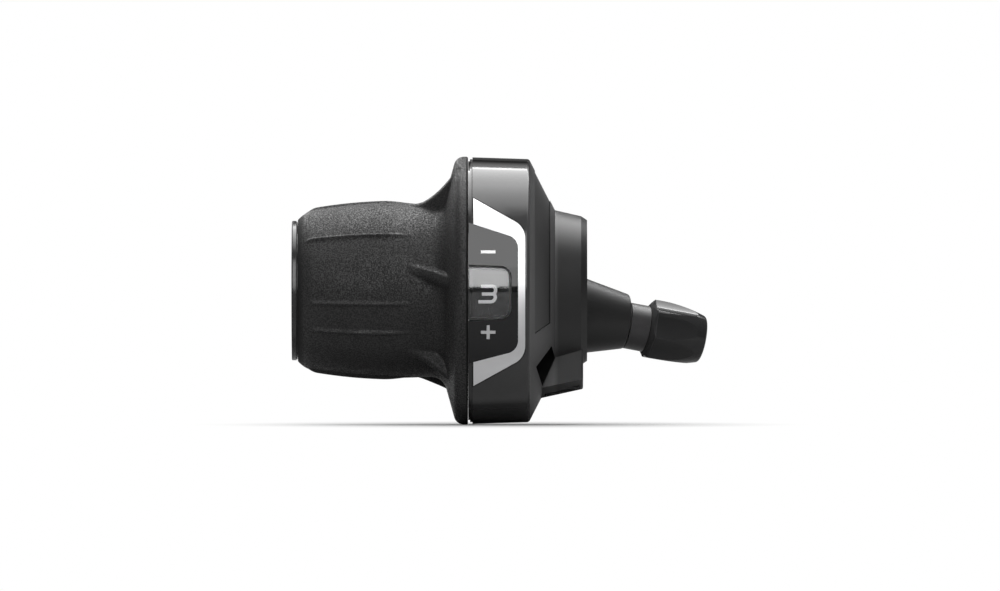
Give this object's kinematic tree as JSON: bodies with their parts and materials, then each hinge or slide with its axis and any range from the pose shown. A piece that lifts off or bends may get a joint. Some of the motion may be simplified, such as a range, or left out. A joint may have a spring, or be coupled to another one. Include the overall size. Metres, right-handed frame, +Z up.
{
  "type": "twist grip shifter",
  "caption": "Bicycle twist grip gear shifter: ribbed rubber grip turning beside a drum housing with a gear number window, a bar clamp and a cable spout with a barrel adjuster.",
  "frame": {"origin": "middle of the bar clamp's bore, on the handlebar's axis", "axes": "+X along the handlebar from the grip towards the clamp and the cable adjuster, +Z up, the gear window faces -Y"},
  "size_m": [0.0833, 0.0579, 0.0536],
  "materials": {
    "body_black": "satin moulded nylon",
    "ring_grey": "satin",
    "panel_black": "high gloss",
    "window_clear": "clear gloss",
    "trim_silver": "satin plated",
    "steel": "zinc plated",
    "spring_steel": "bright",
    "acetal": "natural",
    "plug_black": "matt",
    "brass": "turned",
    "grip_rubber": "fine grain",
    "core_black": "satin",
    "segment_grey": "matt",
    "collar_black": "satin",
    "barrel_metal": "satin",
    "knob_black": "gloss"
  },
  "bodies": {
    "housing": {"main_body": "body_black", "end_ring": "ring_grey", "display_panel": "panel_black", "display_window": "window_clear", "display_trim": "trim_silver", "clamp_bolt": "steel", "clamp_nut": "steel", "detent_spring": "spring_steel", "cable_guide": "acetal", "port_plug": "plug_black", "thrust_washer": "acetal", "thread_insert": "brass", "adjuster_spring": "spring_steel"},
    "twist_grip": {"rubber_grip": "grip_rubber", "grip_core": "core_black", "cable_winder": "acetal", "number_segment": "segment_grey"},
    "click_collar": {"adjuster_collar": "collar_black"},
    "adjuster": {"adjuster_barrel": "barrel_metal", "adjuster_knob": "knob_black"}
  },
  "joints": [
    {"name": "grip_twist", "type": "hinge", "parent": "housing", "child": "twist_grip", "pos_m": [0, 0, 0], "axis": [-1, 0, 0], "range_deg": [0, 64], "deforming": ["detent_spring"]},
    {"name": "adjuster_slide", "type": "slide", "parent": "housing", "child": "click_collar", "axis": [0.9595, 0.2162, -0.1804], "range_m": [0, 0.0032], "deforming": ["adjuster_spring"]},
    {"name": "adjuster_turn", "type": "hinge", "parent": "click_collar", "child": "adjuster", "pos_m": [0.0131, 0.0225, -0.00695], "axis": [0.9595, 0.2162, -0.1804], "range_deg": [0, 1440]}
  ],
  "couplings": [
    {"joint": "adjuster_turn", "follows": "adjuster_slide", "rad_per_m": 7854}
  ]
}
